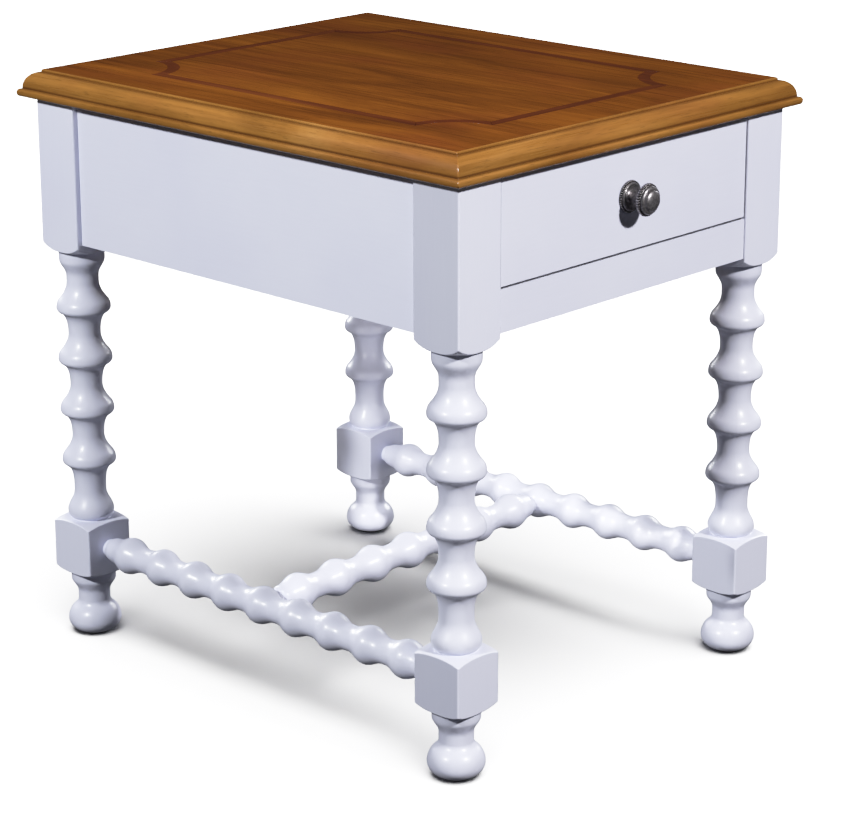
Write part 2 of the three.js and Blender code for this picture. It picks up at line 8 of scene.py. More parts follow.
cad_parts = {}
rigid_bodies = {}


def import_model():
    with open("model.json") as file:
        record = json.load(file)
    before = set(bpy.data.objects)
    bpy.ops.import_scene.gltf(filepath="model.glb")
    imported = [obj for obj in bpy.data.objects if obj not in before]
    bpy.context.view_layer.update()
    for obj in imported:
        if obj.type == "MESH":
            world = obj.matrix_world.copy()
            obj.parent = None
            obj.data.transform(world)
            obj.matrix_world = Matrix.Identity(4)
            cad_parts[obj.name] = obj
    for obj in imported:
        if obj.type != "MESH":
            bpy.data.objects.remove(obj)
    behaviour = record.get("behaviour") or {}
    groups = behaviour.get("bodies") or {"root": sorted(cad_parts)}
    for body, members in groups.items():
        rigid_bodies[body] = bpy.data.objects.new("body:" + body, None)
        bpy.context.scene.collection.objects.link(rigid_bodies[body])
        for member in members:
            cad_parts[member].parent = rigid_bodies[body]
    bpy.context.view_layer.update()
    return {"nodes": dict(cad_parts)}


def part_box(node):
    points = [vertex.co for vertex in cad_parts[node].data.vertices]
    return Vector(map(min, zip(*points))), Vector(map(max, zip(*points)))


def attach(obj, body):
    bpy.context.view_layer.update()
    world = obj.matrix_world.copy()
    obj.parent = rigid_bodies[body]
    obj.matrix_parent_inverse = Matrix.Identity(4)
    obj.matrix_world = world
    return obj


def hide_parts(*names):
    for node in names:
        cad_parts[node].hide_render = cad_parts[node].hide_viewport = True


# Side table with one drawer, in its final looks. Metres in the scene, +Z up, drawer front towards -Y.
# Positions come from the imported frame. The profiles below are in millimetres.

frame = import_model()
NODES = frame["nodes"]
MM = 0.001
SIDES = (("left", -1), ("right", 1))
ENDS = (("front", -1), ("back", 1))
CORNERS = [(f"{end}_{side}", sx, sy) for end, sy in ENDS for side, sx in SIDES]

# ---------- driving dimensions, in millimetres ----------
# legs
LEG_HALF = 28.25
ARRIS_R = 1.8
FACE_STEPS = 16
ARRIS_STEPS = 4
CREASE_ROUND = 0.9
NECK_R = 16.8
COLLAR_R = 23.7
POST_SHOULDER_Z = 422.0
POST_SHOULDER_DROP = 8.8
COLLAR_LOW_Z = 412.0
COLLAR_FLANK = 20.0
BOBBIN_TOP_Z = 359.8
BOBBIN_PITCH = 55.35
BOBBIN_COUNT = 4
BOBBIN_R = 28.2
UPPER_LIP = ((5.4, 0.0), (9.1, 0.28))   # (distance from the rim, share of the drop to the neck)
LOWER_LIP = ((3.2, 0.0), (5.0, 0.30))
BELL_R = 24.2
BELL_Z = 137.8
BELL_FLANK = 25.0
BELL_FOOT_R = 20.7
BELL_FOOT_Z = 131.0
BLOCK_TOP_Z = 129.1
BLOCK_SHOULDER_DROP = 4.8
BLOCK_BOTTOM_Z = 70.2
ANKLE_R = 23.5
ANKLE_LOW_Z = 61.0
ANKLE_FLANK = 17.0
ANKLE_NECK_R = 16.9
ANKLE_NECK_LOW_Z = 37.0
BULB_R = 28.0
BULB_ROUND = 17.0
BULB_Z = 15.0
BULB_UP = 18.5
BULB_DOWN = 14.1
BULB_TOP_ANGLE = 52.0                 # degrees above the widest part, where the cove takes over
BULB_LOW_ANGLE = -56.0
BULB_COVE_Z = 33.5
COLLAR_COVE = 0.7

# stretchers
STRETCHER_BOBBIN_R = 19.4
STRETCHER_NECK_R = 13.0
STRETCHER_END_R = 9.4
STRETCHER_END_LENGTH = 6.0
STRETCHER_ROW_TRIM = 2.5              # cut off the row's last necks, where the cones start
STRETCHER_IN_BLOCK = 2.0
CROSS_IN_SIDE = 4.0
SIDE_BOBBINS = 9
SIDE_PITCH = 50.0
CROSS_BOBBINS = 7
CROSS_PITCH = 54.0

# top, as [inset from the nose, height above the underside]
TOP_THICK = 27.5
MOULDING_WIDTH = 20.5
MITRE_R = 1.2
BEAD_BULGE = 2.4
BEAD_HEIGHT = 7.5
OVOLO_FOOT = (4.4, 9.0)
OVOLO_HEAD = (18.2, 24.7)
STEP_ROUND = 1.4
QUIRK_Z = 8.6
STEP_Z = 25.0
INLAY_THICK = 1.2
INLAY_FIT = 0.15
INLAY_WIDTH = 12.0
INLAY_EASE = 0.12
INLAY_END_TRIM = 0.3
INLAY_CORNER_R = 50.0

# knob
RIM_BEADS = 38
ROSETTE_BEADS = 44
KNOB_BEAD_DEPTH = 1.5
ROSETTE_BEAD_DEPTH = 1.4
BEAD_MEAN = 0.62                      # share of a bead's depth that lies inside the plain rim
BEAD_GAP_R = 14.9                     # tarnish is darkest at this radius and inside it
BEAD_CROWN_R = 15.5
RIM_INSIDE_R = 13.7
KNOB_R = 15.4
KNOB_DOME_R = 10.4
KNOB_DOME_RISE = 4.2
KNOB_STEM_R = 5.2
KNOB_HEAD_BACK = 15.5

# fasteners, as head radius and head thickness
SCREW_HEAD = (4.0, 2.0)
KNOB_SCREW_HEAD = (4.5, 2.4)
BOLT_HEAD = (7.0, 4.0)
BOLT_SEAT = 11.0                      # from the inner corner of the bolt's box, along its axis


# ---------- shader graphs ----------
class Graph:
    """The node tree of one material, with short calls for the nodes used here."""

    def __init__(self, name):
        self.material = bpy.data.materials.new(name)
        self.material.use_nodes = True
        self.tree = self.material.node_tree
        self.tree.nodes.clear()
        self.shader = self.node("ShaderNodeBsdfPrincipled")
        output = self.node("ShaderNodeOutputMaterial")
        self.link(self.shader.outputs["BSDF"], output.inputs["Surface"])
        self.position = self.node("ShaderNodeTexCoord").outputs["Object"]

    def node(self, kind, **settings):
        made = self.tree.nodes.new(kind)
        for key, value in settings.items():
            setattr(made, key, value)
        return made

    def link(self, source, target):
        self.tree.links.new(source, target)

    def feed(self, source, target):
        """Links a socket, or sets a plain value."""
        if isinstance(source, bpy.types.NodeSocket):
            self.link(source, target)
        else:
            target.default_value = source

    def stretched(self, scale, shift=(0, 0, 0)):
        """Object position times a scale per axis, in features per metre."""
        mapping = self.node("ShaderNodeMapping")
        self.link(self.position, mapping.inputs["Vector"])
        mapping.inputs["Scale"].default_value = scale
        mapping.inputs["Location"].default_value = shift
        return mapping.outputs["Vector"]

    def noise(self, vector, scale=1.0, detail=3.0, roughness=0.5, distortion=0.0):
        made = self.node("ShaderNodeTexNoise")
        self.link(vector, made.inputs["Vector"])
        made.inputs["Scale"].default_value = scale
        made.inputs["Detail"].default_value = detail
        made.inputs["Roughness"].default_value = roughness
        made.inputs["Distortion"].default_value = distortion
        return made.outputs[0]

    def remap(self, value, low, high, to_low, to_high):
        made = self.node("ShaderNodeMapRange")
        self.link(value, made.inputs["Value"])
        made.inputs["From Min"].default_value = low
        made.inputs["From Max"].default_value = high
        made.inputs["To Min"].default_value = to_low
        made.inputs["To Max"].default_value = to_high
        return made.outputs["Result"]

    def math(self, operation, first, second):
        made = self.node("ShaderNodeMath", operation=operation)
        self.feed(first, made.inputs[0])
        self.feed(second, made.inputs[1])
        return made.outputs[0]

    def ramp(self, value, *stops):
        made = self.node("ShaderNodeValToRGB")
        self.link(value, made.inputs["Fac"])
        elements = made.color_ramp.elements
        while len(elements) < len(stops):
            elements.new(1.0)
        for element, (place, colour) in zip(elements, stops):
            element.position = place
            element.color = (*colour, 1.0)
        return made.outputs["Color"]

    def mix(self, factor, first, second, blend="MIX"):
        made = self.node("ShaderNodeMix", data_type="RGBA", blend_type=blend)
        self.feed(factor, made.inputs[0])
        self.feed(first, made.inputs[6])
        self.feed(second, made.inputs[7])
        return made.outputs[2]

    def axis(self, name):
        split = self.node("ShaderNodeSeparateXYZ")
        self.link(self.position, split.inputs[0])
        return split.outputs[name]

    def bump(self, height, distance, strength=1.0, under=None):
        made = self.node("ShaderNodeBump")
        self.link(height, made.inputs["Height"])
        made.inputs["Distance"].default_value = distance
        made.inputs["Strength"].default_value = strength
        if under is not None:
            self.link(under, made.inputs["Normal"])
        return made.outputs["Normal"]

    def finish(self, colour, roughness, normal, **plain):
        self.feed(colour, self.shader.inputs["Base Color"])
        self.feed(roughness, self.shader.inputs["Roughness"])
        self.link(normal, self.shader.inputs["Normal"])
        for key, value in plain.items():
            self.shader.inputs[key.replace("_", " ")].default_value = value
        return self.material


def linear(red, green, blue):
    """Scene-linear colour from 0-255 display values."""
    out = []
    for value in (red, green, blue):
        v = value / 255.0
        out.append(v / 12.92 if v <= 0.04045 else ((v + 0.055) / 1.055) ** 2.4)
    return tuple(out)


def along_scale(along, across, lengthwise):
    """Texture scales with the long direction of the wood on one axis."""
    return tuple(lengthwise if axis == along else across for axis in "XYZ")


def painted_gap_shade(g, colour):
    """Painted shade: darkens paint where another board stands a few millimetres away, as the shadow in a
    narrow gap between parts.
    """
    hollow = g.node("ShaderNodeAmbientOcclusion", samples=8)
    hollow.inputs["Distance"].default_value = 0.004
    shade = g.remap(hollow.outputs["AO"], 0.30, 0.62, 0.88, 0.0)
    return g.mix(shade, colour, (*linear(60, 55, 58), 1.0))


def paint(name, along, gap_shaded=False):
    """Satin white paint over wood: a faint brushed grain and soft orange peel, and on request painted shade
    in narrow gaps beside other boards.
    """
    g = Graph(name)
    cloud = g.noise(g.stretched((7, 7, 7)), detail=4)
    fine = g.noise(g.stretched(along_scale(along, 420, 24)), detail=5, roughness=0.6)
    tone = g.ramp(cloud, (0.30, linear(226, 228, 246)), (0.70, linear(231, 233, 249)))
    faint = g.remap(fine, 0.3, 0.7, 0.0, 0.10)
    colour = g.mix(faint, tone, (*linear(213, 214, 231), 1.0))
    # painted shade in the narrow gaps beside other boards
    if gap_shaded:
        colour = painted_gap_shade(g, colour)
    rough = g.remap(g.noise(g.stretched((60, 60, 60)), detail=5), 0.3, 0.7, 0.30, 0.40)
    brushed = g.bump(fine, 0.00010, 0.35)
    peel = g.bump(g.noise(g.stretched((520, 520, 520)), detail=2), 0.00010, 0.30, under=brushed)
    return g.finish(colour, rough, peel, IOR=1.47, Coat_Weight=0.15, Coat_Roughness=0.18)


def stained_wood(name, along, dark, middle, light, blush, rough_low, rough_high):
    """Lacquered hardwood: cloudy figure, long streaks, short pores and a reddish blotch."""
    g = Graph(name)
    figure = g.noise(g.stretched(along_scale(along, 15, 3.2)), detail=6, roughness=0.56, distortion=0.9)
    body = g.ramp(figure, (0.28, dark), (0.50, middle), (0.72, light))
    blotch = g.noise(g.stretched(along_scale(along, 9, 5), (3.1, 7.7, 1.3)), detail=3, roughness=0.5)
    red = g.mix(g.remap(blotch, 0.48, 0.72, 0.0, 0.55), body, (*blush, 1.0))
    streak = g.noise(g.stretched(along_scale(along, 190, 6)), detail=6, roughness=0.62)
    streaked = g.ramp(streak, (0.30, (0.74, 0.70, 0.66)), (0.70, (1.14, 1.14, 1.12)))
    lined = g.mix(1.0, red, streaked, "MULTIPLY")
    pore = g.noise(g.stretched(along_scale(along, 1250, 60)), detail=2, roughness=0.5)
    pored = g.mix(g.remap(pore, 0.60, 0.72, 0.0, 0.42), lined, (*[v * 0.32 for v in dark], 1.0))
    rough = g.remap(streak, 0.3, 0.7, rough_low, rough_high)
    grain = g.bump(streak, 0.00012, 0.25)
    pits = g.bump(g.remap(pore, 0.60, 0.72, 1.0, 0.0), 0.00012, 0.30, under=grain)
    return g, pored, rough, pits


def top_field_wood():
    g, colour, rough, normal = stained_wood(
        "top_field_wood", "Y", linear(97, 51, 11), linear(127, 71, 18), linear(152, 90, 27),
        linear(128, 63, 26), 0.24, 0.34)
    return g.finish(colour, rough, normal, IOR=1.5)


def moulding_wood(name, along):
    """The golden moulded edge, painted darker in its quirk and along its step."""
    g, colour, rough, normal = stained_wood(
        name, along, linear(122, 80, 33), linear(154, 107, 49), linear(175, 129, 69),
        linear(143, 88, 45), 0.24, 0.34)
    height = g.math("SUBTRACT", g.axis("Z"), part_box("top_board")[0].z)
    # a darker band painted round the quirk's height, and a second one at the step
    from_quirk = g.math("ABSOLUTE", g.math("SUBTRACT", height, QUIRK_Z * MM), 0.0)
    quirk_darkening = g.remap(from_quirk, 0.0004, 0.0020, 0.80, 0.0)
    quirked = g.mix(quirk_darkening, colour, (*linear(74, 40, 14), 1.0))
    from_step = g.math("ABSOLUTE", g.math("SUBTRACT", height, STEP_Z * MM), 0.0)
    stepped = g.mix(g.remap(from_step, 0.0003, 0.0011, 0.62, 0.0), quirked, (*linear(84, 46, 18), 1.0))
    return g.finish(stepped, rough, normal, IOR=1.5)


def inlay_wood(name, along):
    g, colour, rough, normal = stained_wood(
        name, along, linear(74, 33, 12), linear(97, 46, 18), linear(116, 60, 26),
        linear(101, 43, 18), 0.28, 0.38)
    return g.finish(colour, rough, normal, IOR=1.5)


def raw_wood(name, along):
    """Plain sanded wood of the drawer box and the parts inside the frame."""
    g, colour, rough, normal = stained_wood(
        name, along, linear(176, 138, 94), linear(200, 164, 118), linear(217, 186, 142),
        linear(196, 152, 108), 0.55, 0.70)
    return g.finish(colour, rough, normal, IOR=1.45)


def pewter():
    """Aged pewter: bright where rubbed, dark between the beads, with mottling and fine scratches."""
    g = Graph("aged_pewter")
    mottle = g.noise(g.stretched((420, 420, 420)), detail=6, roughness=0.65)
    patch = g.noise(g.stretched((90, 90, 90), (5.0, 2.0, 9.0)), detail=4)
    worn = g.ramp(mottle, (0.34, linear(118, 115, 117)), (0.52, linear(166, 162, 164)),
                  (0.70, linear(208, 204, 204)))
    colour = g.mix(g.remap(patch, 0.50, 0.66, 0.0, 0.45), worn, (*linear(98, 94, 96), 1.0))
    low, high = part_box("knob")
    across = g.math("SUBTRACT", g.axis("X"), (low.x + high.x) / 2)
    upright = g.math("SUBTRACT", g.axis("Z"), (low.z + high.z) / 2)
    radius = g.math("SQRT", g.math("ADD", g.math("POWER", across, 2.0), g.math("POWER", upright, 2.0)), 0.0)
    between = g.remap(radius, BEAD_GAP_R * MM, BEAD_CROWN_R * MM, 0.93, 0.0)
    on_rim = g.remap(radius, RIM_INSIDE_R * MM, (RIM_INSIDE_R + 0.2) * MM, 0.0, 1.0)
    colour = g.mix(g.math("MULTIPLY", between, on_rim), colour, (*linear(38, 34, 36), 1.0))
    rough = g.remap(mottle, 0.3, 0.7, 0.46, 0.32)
    dents = g.bump(mottle, 0.00012, 0.45)
    scratch = g.bump(g.noise(g.stretched((300, 300, 2600)), detail=2), 0.00005, 0.3, under=dents)
    return g.finish(colour, rough, scratch, Metallic=0.9)


def steel():
    """Zinc-plated steel, turned, with a faint haze."""
    g = Graph("plated_steel")
    haze = g.noise(g.stretched((240, 240, 240)), detail=5, roughness=0.6)
    colour = g.ramp(haze, (0.35, linear(150, 149, 142)), (0.65, linear(186, 184, 174)))
    rough = g.remap(haze, 0.3, 0.7, 0.30, 0.46)
    turned_marks = g.bump(g.noise(g.stretched((60, 60, 3200)), detail=2), 0.00004, 0.4)
    return g.finish(colour, rough, turned_marks, Metallic=1.0)


def glide_plastic():
    """Near-black moulded plastic with a fine matt texture and scuffs."""
    g = Graph("dark_glide_plastic")
    cloud = g.noise(g.stretched((180, 180, 180)), detail=5, roughness=0.6)
    colour = g.ramp(cloud, (0.35, linear(20, 19, 21)), (0.70, linear(38, 36, 38)))
    rough = g.remap(cloud, 0.3, 0.7, 0.50, 0.68)
    matt = g.bump(g.noise(g.stretched((2600, 2600, 2600)), detail=2), 0.00005, 0.5)
    return g.finish(colour, rough, matt, IOR=1.49)


def floor_finish():
    g = Graph("pale_floor")
    cloud = g.noise(g.stretched((0.8, 0.8, 0.8)), detail=3)
    colour = g.ramp(cloud, (0.3, (0.90, 0.90, 0.90)), (0.7, (0.92, 0.92, 0.92)))
    rough = g.remap(cloud, 0.3, 0.7, 0.85, 0.90)
    grit = g.bump(g.noise(g.stretched((300, 300, 300)), detail=2), 0.0001, 0.1)
    return g.finish(colour, rough, grit, Specular_IOR_Level=0.0)


PAINT_X = paint("satin_paint_grain_x", "X")
PAINT_Y = paint("satin_paint_grain_y", "Y")
PAINT_Z = paint("satin_paint_grain_z", "Z")
# the front rail and drawer front carry painted shade in the gaps round the drawer
PAINT_FRONT_GAP_SHADE = paint("satin_paint_front_joints", "X", gap_shaded=True)
TOP_FIELD = top_field_wood()
MOULDING_X = moulding_wood("moulding_wood_grain_x", "X")
MOULDING_Y = moulding_wood("moulding_wood_grain_y", "Y")
INLAY_X = inlay_wood("inlay_wood_grain_x", "X")
INLAY_Y = inlay_wood("inlay_wood_grain_y", "Y")
RAW_X = raw_wood("raw_wood_grain_x", "X")
RAW_Y = raw_wood("raw_wood_grain_y", "Y")
PEWTER = pewter()
STEEL = steel()
GLIDE = glide_plastic()


# ---------- mesh helpers ----------
def add_piece(name, vertices, faces, materials, body, nodes, sharp=35, face_material=None):
    """A piece that stands for some CAD nodes, from vertices in metres in the row frame."""
    mesh = bpy.data.meshes.new(name)
    mesh.from_pydata([tuple(v) for v in vertices], [], faces)
    for material in materials:
        mesh.materials.append(material)
    if face_material is not None:
        mesh.polygons.foreach_set("material_index", face_material)
    bm = bmesh.new()
    bm.from_mesh(mesh)
    bmesh.ops.recalc_face_normals(bm, faces=bm.faces)
    bm.to_mesh(mesh)
    bm.free()
    mesh.polygons.foreach_set("use_smooth", [True] * len(mesh.polygons))
    mesh.set_sharp_from_angle(angle=math.radians(sharp))
    piece = bpy.data.objects.new(name, mesh)
    bpy.context.scene.collection.objects.link(piece)
    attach(piece, body)
    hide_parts(*nodes)
    return piece


def weigh_normals(piece):
    """Keeps broad faces flat beside their small rounded edges."""
    modifier = piece.modifiers.new("weighted_normals", "WEIGHTED_NORMAL")
    modifier.mode = "FACE_AREA"
    modifier.keep_sharp = True


def curve_points(start, control, end, steps):
    """Points of a quadratic curve, both ends included."""
    points = []
    for i in range(steps + 1):
        t = i / steps
        a, b, c = (1 - t) ** 2, 2 * t * (1 - t), t * t
        points.append(tuple(a * s + b * m + c * e for s, m, e in zip(start, control, end)))
    return points


def flank(t):
    """One side of a bobbin: 1 at the rim (t = 0) and 0 at the neck (t = 1)."""
    return math.cos(min(abs(t), 1.0) * math.pi / 2) ** 3


def bobbins(first_rim, count, pitch, rim_r, neck_r, steps):
    """Evenly pitched bobbins from neck to neck, as (radius, distance) pairs."""
    rows = []
    for i in range(count * steps + 1):
        t = 2 * (i % steps) / steps - 1
        rows.append((neck_r + (rim_r - neck_r) * flank(t), first_rim + (i / steps - 0.5) * pitch))
    return rows


def grid_faces(rows, columns):
    """Quads of a closed tube of rows, each of the same number of columns."""
    faces = []
    for row in range(rows - 1):
        for column in range(columns):
            after = (column + 1) % columns
            faces.append((row * columns + column, row * columns + after,
                          (row + 1) * columns + after, (row + 1) * columns + column))
    return faces


def lathe(profile, centre, axis, segments, ripple=None):
    """Vertices and faces of a turned solid, from (radius mm, distance mm) pairs along an axis."""
    axis = Vector(axis).normalized()
    first = axis.orthogonal().normalized()
    second = axis.cross(first)
    vertices = []
    for row, (radius, distance) in enumerate(profile):
        for column in range(segments):
            angle = 2 * math.pi * column / segments
            r = radius + (ripple(row, angle) if ripple else 0.0)
            spoke = first * math.cos(angle) + second * math.sin(angle)
            vertices.append(centre + axis * (distance * MM) + spoke * (r * MM))
    faces = grid_faces(len(profile), segments)
    last = (len(profile) - 1) * segments
    faces.append(tuple(range(segments))[::-1])
    faces.append(tuple(range(last, last + segments)))
    return vertices, faces


# ---------- legs ----------
def blank_section():
    """(radius, unit direction) round the square blank with its rounded arrises, in millimetres."""
    inner = LEG_HALF - ARRIS_R
    points = []
    for quarter in range(4):
        turn = quarter * math.pi / 2
        cos, sin = round(math.cos(turn)), round(math.sin(turn))
        side = [(LEG_HALF, -inner + 2 * inner * i / FACE_STEPS) for i in range(FACE_STEPS)]
        for i in range(ARRIS_STEPS):
            a = math.pi / 2 * i / ARRIS_STEPS
            side.append((inner + ARRIS_R * math.cos(a), inner + ARRIS_R * math.sin(a)))
        points += [(x * cos - y * sin, x * sin + y * cos) for x, y in side]
    return [(math.hypot(x, y), (x / math.hypot(x, y), y / math.hypot(x, y))) for x, y in points]


def shoulder_z(radius, inner_r, flat_z, drop):
    """Height of a turned shoulder across the square blank."""
    t = (radius - inner_r) / (LEG_HALF * math.sqrt(2) - inner_r)
    return flat_z + drop * t * t


def shoulder_rows(radius, inner_r, flat_z, drop, away):
    """From the blank's face round the crease, across the shoulder and into its collar.
    away is +1 where the blank lies above the shoulder and -1 where it lies below."""
    crease_z = shoulder_z(radius, inner_r, flat_z, drop)
    inside = radius - CREASE_ROUND
    start = (radius, crease_z + away * CREASE_ROUND)
    end = (inside, shoulder_z(inside, inner_r, flat_z, drop))
    rows = curve_points(start, (radius, crease_z), end, 4)
    for i in range(1, 9):
        r = inside + (inner_r + COLLAR_COVE - inside) * i / 8
        rows.append((r, shoulder_z(r, inner_r, flat_z, drop)))
    rows += curve_points(rows[-1], (inner_r, flat_z), (inner_r, flat_z - away * COLLAR_COVE), 3)[1:]
    return rows


def lip_flank(away, lip):
    """One flank of a leg's bobbin as (radius, distance): a round lip, a steep side and a hollow neck."""
    drop = BOBBIN_R - NECK_R
    (turn_at, _), (lip_at, lip_share) = lip
    lip_r = BOBBIN_R - drop * lip_share
    slope = (BOBBIN_R - lip_r) / (lip_at - turn_at)
    meet_at = lip_at + (lip_r - NECK_R) / slope
    half = BOBBIN_PITCH / 2
    rows = curve_points((BOBBIN_R, 0.0), (BOBBIN_R, turn_at), (lip_r, lip_at), 7)
    rows += curve_points((lip_r, lip_at), (NECK_R, meet_at), (NECK_R, half), 9)[1:]
    return [(r, away * d) for r, d in rows]


def leg_bobbins():
    """All the bobbins of a leg, from the top neck down to the bottom one."""
    rows = []
    for i in range(BOBBIN_COUNT):
        rim_z = BOBBIN_TOP_Z - i * BOBBIN_PITCH
        bobbin = lip_flank(1, UPPER_LIP)[::-1] + lip_flank(-1, LOWER_LIP)[1:]
        rows += [(r, rim_z + d) for r, d in bobbin[(1 if rows else 0):]]
    return rows


def straight_rows(radius, z0, z1, steps):
    return [(radius, z0 + (z1 - z0) * i / steps) for i in range(steps + 1)]


def flank_rows(high_r, low_r, from_z, to_z, steps):
    """A hollow flank that leaves a rim at from_z and meets a neck at to_z."""
    return [(low_r + (high_r - low_r) * flank(i / steps), from_z + (to_z - from_z) * i / steps)
            for i in range(1, steps + 1)]


def shaft_rows():
    """From the collar under the post down to the bell's foot on the block."""
    rows = straight_rows(COLLAR_R, POST_SHOULDER_Z - COLLAR_COVE, COLLAR_LOW_Z, 3)[1:]
    rows += flank_rows(COLLAR_R, NECK_R, COLLAR_LOW_Z, COLLAR_LOW_Z - COLLAR_FLANK, 10)
    rows += leg_bobbins()
    rows += [(r, z) for r, z in reversed(flank_rows(BELL_R, NECK_R, BELL_Z, BELL_Z + BELL_FLANK, 12))]
    for i in range(9):
        a = math.pi / 2 * i / 8
        rows.append((BELL_FOOT_R + (BELL_R - BELL_FOOT_R) * math.cos(a),
                     BELL_Z - (BELL_Z - BELL_FOOT_Z) * math.sin(a)))
    return rows


def foot_rows():
    """From the ankle collar under the block down to the flat under the bulb."""
    rows = straight_rows(ANKLE_R, BLOCK_BOTTOM_Z - COLLAR_COVE, ANKLE_LOW_Z, 3)[1:]
    rows += flank_rows(ANKLE_R, ANKLE_NECK_R, ANKLE_LOW_Z, ANKLE_LOW_Z - ANKLE_FLANK, 10)

    def bulb(a):
        height = BULB_UP if a > 0 else BULB_DOWN
        return (BULB_R - BULB_ROUND + BULB_ROUND * math.cos(a), BULB_Z + height * math.sin(a))

    top_angle, low_angle = math.radians(BULB_TOP_ANGLE), math.radians(BULB_LOW_ANGLE)
    rows += curve_points((ANKLE_NECK_R, ANKLE_NECK_LOW_Z), (ANKLE_NECK_R, BULB_COVE_Z), bulb(top_angle), 6)
    steps = 24
    rows += [bulb(top_angle + (low_angle - top_angle) * i / steps) for i in range(1, steps + 1)]
    return rows


def leg_column(radius, top_z):
    """One column down the leg, for the blank's radius in that direction."""
    post = shoulder_rows(radius, COLLAR_R, POST_SHOULDER_Z, POST_SHOULDER_DROP, 1)
    block_top = shoulder_rows(radius, BELL_FOOT_R, BLOCK_TOP_Z, -BLOCK_SHOULDER_DROP, -1)[::-1]
    block_bottom = shoulder_rows(radius, ANKLE_R, BLOCK_BOTTOM_Z, BLOCK_SHOULDER_DROP, 1)
    rows = straight_rows(radius, top_z, post[0][1], 8)[:-1] + post
    rows += shaft_rows() + block_top
    rows += straight_rows(radius, block_top[-1][1], block_bottom[0][1], 5)[1:-1] + block_bottom
    return rows + foot_rows()


def build_leg(name, top_z):
    low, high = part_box(f"leg_{name}")
    centre = (low + high) / 2
    section = blank_section()
    columns = [leg_column(radius, top_z) for radius, _ in section]
    vertices = []
    for row in range(len(columns[0])):
        for (radius, (dx, dy)), column in zip(section, columns):
            r, z = column[row]
            vertices.append((centre.x + dx * r * MM, centre.y + dy * r * MM, z * MM))
    count = len(section)
    faces = grid_faces(len(columns[0]), count)
    last = (len(columns[0]) - 1) * count
    faces.append(tuple(range(count))[::-1])
    faces.append(tuple(range(last, last + count)))
    node = f"leg_{name}"
    leg = add_piece(f"{node}_turned", vertices, faces, [PAINT_Z], "table", [node], 50)
    weigh_normals(leg)


def build_glide(name):
    low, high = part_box(f"glide_{name}")
    centre = Vector(((low.x + high.x) / 2, (low.y + high.y) / 2, low.z))
    radius = (high.x - low.x) / 2 / MM
    profile = curve_points((radius - 2.2, 0.0), (radius, 0.0), (radius, 1.4), 4)
    profile += curve_points((radius, 2.6), (radius, 3.4), (radius - 0.8, 3.4), 3)
    vertices, faces = lathe([(radius - 3.0, 0.3), (radius - 2.6, 0.0)] + profile, centre, (0, 0, 1), 64)
    add_piece(f"glide_{name}_disc", vertices, faces, [GLIDE], "table", [f"glide_{name}"])


# ---------- stretchers ----------
def stretcher_profile(count, pitch, half_length):
    """Radius and distance from the middle, end to end."""
    first = -(count - 1) * pitch / 2
    row_half = count * pitch / 2
    collar = half_length - STRETCHER_END_LENGTH
    row = bobbins(first, count, pitch, STRETCHER_BOBBIN_R, STRETCHER_NECK_R, 22)
    inner = row_half - STRETCHER_ROW_TRIM
    row = [p for p in row if abs(p[1]) < inner]
    end = [(STRETCHER_END_R, half_length), (STRETCHER_END_R, collar + 1.5), (STRETCHER_END_R, collar)]
    cone = curve_points((STRETCHER_END_R, collar), (row[-1][0] - 0.4, collar - 1.0), row[-1], 5)[1:-1]
    return [(r, -z) for r, z in end + cone] + row + [(r, z) for r, z in reversed(end + cone)]


def build_stretchers():
    face_y = (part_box("leg_back_left")[0].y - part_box("leg_front_left")[1].y) / 2 / MM
    for side, _ in SIDES:
        low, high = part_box(f"stretcher_{side}")
        centre = (low + high) / 2
        profile = stretcher_profile(SIDE_BOBBINS, SIDE_PITCH, face_y + STRETCHER_IN_BLOCK)
        vertices, faces = lathe(profile, centre, (0, 1, 0), 56)
        node = f"stretcher_{side}"
        add_piece(f"{node}_turned", vertices, faces, [PAINT_Y], "table", [node], 50)
    low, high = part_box("stretcher_cross")
    side_x = (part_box("stretcher_right")[0].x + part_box("stretcher_right")[1].x) / 2 / MM
    profile = stretcher_profile(CROSS_BOBBINS, CROSS_PITCH, side_x - STRETCHER_BOBBIN_R + CROSS_IN_SIDE)
    vertices, faces = lathe(profile, (low + high) / 2, (1, 0, 0), 56)
    node = "stretcher_cross"
    add_piece(f"{node}_turned", vertices, faces, [PAINT_X], "table", [node], 50)


# ---------- top ----------
def moulding_profile():
    """[inset, height] from the underside, round the bead, quirk and ovolo, to the flat field."""
    points = [(MOULDING_WIDTH + 20, 0.0), (BEAD_BULGE + 0.6, 0.0)]
    middle = BEAD_HEIGHT / 2
    for i in range(13):
        a = math.radians(-80 + 170 * i / 12)
        points.append((BEAD_BULGE * (1 - math.cos(a)), middle + middle * math.sin(a)))
    points += [(3.6, BEAD_HEIGHT + 0.1), (4.2, BEAD_HEIGHT + 0.5)]
    foot_x, foot_z = OVOLO_FOOT
    head_x, head_z = OVOLO_HEAD
    points.append((foot_x, foot_z - 0.4))
    for i in range(19):
        a = math.pi / 2 * i / 18
        points.append((head_x - (head_x - foot_x) * math.cos(a), foot_z + (head_z - foot_z) * math.sin(a)))
    points += [(head_x + 0.25, head_z + 0.1), (head_x + 0.35, TOP_THICK - STEP_ROUND)]
    step = (head_x + 0.35, TOP_THICK - STEP_ROUND)
    points += curve_points(step, (step[0], TOP_THICK), (MOULDING_WIDTH, TOP_THICK), 6)[1:]
    return points


def rectangle_ring(half_x, half_y, radius, z):
    """A rectangle with small rounded corners, counter-clockwise, in millimetres."""
    ring = []
    for quarter, (sx, sy) in enumerate(((1, 1), (-1, 1), (-1, -1), (1, -1))):
        for i in range(5):
            a = math.pi / 2 * (quarter + i / 4)
            ring.append((sx * (half_x - radius) + radius * math.cos(a),
                         sy * (half_y - radius) + radius * math.sin(a), z))
    return ring


